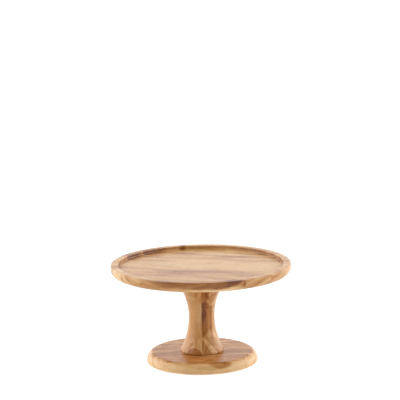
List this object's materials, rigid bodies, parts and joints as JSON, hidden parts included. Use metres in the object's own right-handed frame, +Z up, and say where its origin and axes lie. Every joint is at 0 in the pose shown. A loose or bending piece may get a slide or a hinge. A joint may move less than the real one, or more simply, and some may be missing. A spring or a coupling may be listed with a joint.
{
  "type": "cake stand",
  "caption": "Round pedestal cake stand in laminated hardwood: a shallow plate with a raised rim on a waisted turned column and a flat base with a rounded edge.",
  "frame": {"origin": "centre of the footprint, on the table under the anti-slip pads", "axes": "+Z up along the axis that the stand is turned about; -Y is the front; +X is to the right seen from the front"},
  "size_m": [0.25, 0.25, 0.14],
  "materials": {
    "plate_wood": "oiled hardwood, satin, fine straight grain",
    "column_light_wood": "oiled hardwood, satin, light sapwood",
    "column_dark_wood": "oiled hardwood, satin, brown heartwood",
    "base_wood": "oiled hardwood, satin, fine straight grain",
    "pad_rubber": "matte rubber",
    "insert_brass": "plain brass",
    "fastener_steel": "bright zinc plate"
  },
  "bodies": {
    "root": {"plate_stave_1": "plate_wood", "plate_stave_2": "plate_wood", "plate_stave_3": "plate_wood", "plate_stave_4": "plate_wood", "plate_stave_5": "plate_wood", "plate_stave_6": "plate_wood", "plate_stave_7": "plate_wood", "column_core_front_left": "column_light_wood", "column_core_front_right": "column_dark_wood", "column_core_back_left": "column_light_wood", "column_core_back_right": "column_dark_wood", "column_foot_front_left": "column_light_wood", "column_foot_front_right": "column_dark_wood", "column_foot_back_left": "column_light_wood", "column_foot_back_right": "column_dark_wood", "column_head_front_left": "column_light_wood", "column_head_front_right": "column_dark_wood", "column_head_back_left": "column_light_wood", "column_head_back_right": "column_dark_wood", "base_stave_1": "base_wood", "base_stave_2": "base_wood", "base_stave_3": "base_wood", "base_stave_4": "base_wood", "base_stave_5": "base_wood", "anti_slip_pad_1": "pad_rubber", "anti_slip_pad_2": "pad_rubber", "anti_slip_pad_3": "pad_rubber", "anti_slip_pad_4": "pad_rubber", "plate_threaded_insert": "insert_brass", "column_stud": "fastener_steel", "base_screw": "fastener_steel", "base_washer": "fastener_steel"}
  },
  "joints": []
}
